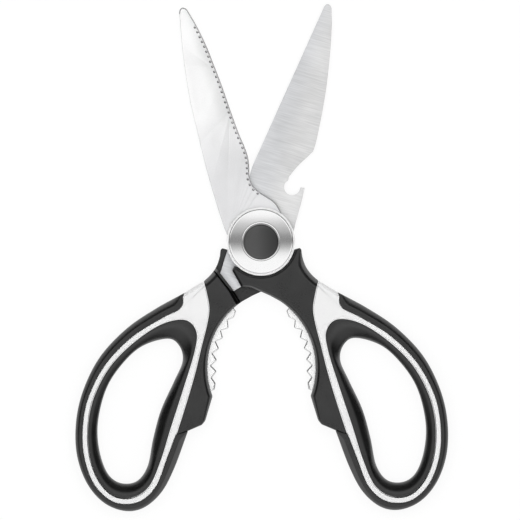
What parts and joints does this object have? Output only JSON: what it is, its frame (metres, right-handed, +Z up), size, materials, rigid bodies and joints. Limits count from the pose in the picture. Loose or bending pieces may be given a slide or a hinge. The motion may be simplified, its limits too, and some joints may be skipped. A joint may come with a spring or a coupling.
{
  "type": "fish scissors",
  "caption": "Kitchen scissors for fish and poultry: serrated and plain blades on a pivot, bottle-opener notch, toothed nutcracker jaws and soft-lined finger loops.",
  "frame": {"origin": "on the pivot axis, at the flat bottom of the pivot nut, which is level with the surface the scissors lie on", "axes": "+Y along the middle line between the two halves, towards the blade tips; +Z up out of the face shown in the picture, along the pivot axis; +X towards the front half's handle"},
  "size_m": [0.1488, 0.2022, 0.013],
  "materials": {
    "satin_steel": "satin",
    "brushed_steel": "cross-brushed",
    "chrome": "polished",
    "black_plastic": "fine moulded texture",
    "soft_black_grip": "soft satin",
    "white_plastic": "smooth moulded"
  },
  "bodies": {
    "rear_half": {"rear_blade": "brushed_steel", "rear_handle_body": "black_plastic", "rear_handle_core": "white_plastic", "rear_outer_grip": "soft_black_grip", "rear_loop_lining": "soft_black_grip", "rear_jaw_plate": "satin_steel", "pivot_bolt": "satin_steel", "pivot_nut": "chrome", "pivot_cap": "black_plastic", "spring_washer": "satin_steel", "front_pivot_ring": "chrome", "rear_pivot_ring": "chrome"},
    "front_half": {"front_blade": "satin_steel", "front_handle_body": "black_plastic", "front_handle_core": "white_plastic", "front_outer_grip": "soft_black_grip", "front_loop_lining": "soft_black_grip", "front_jaw_plate": "satin_steel"}
  },
  "joints": [
    {"name": "pivot", "type": "hinge", "parent": "rear_half", "child": "front_half", "pos_m": [0, 0, 0], "axis": [0, 0, 1], "range_deg": [-34.8, 65]}
  ]
}
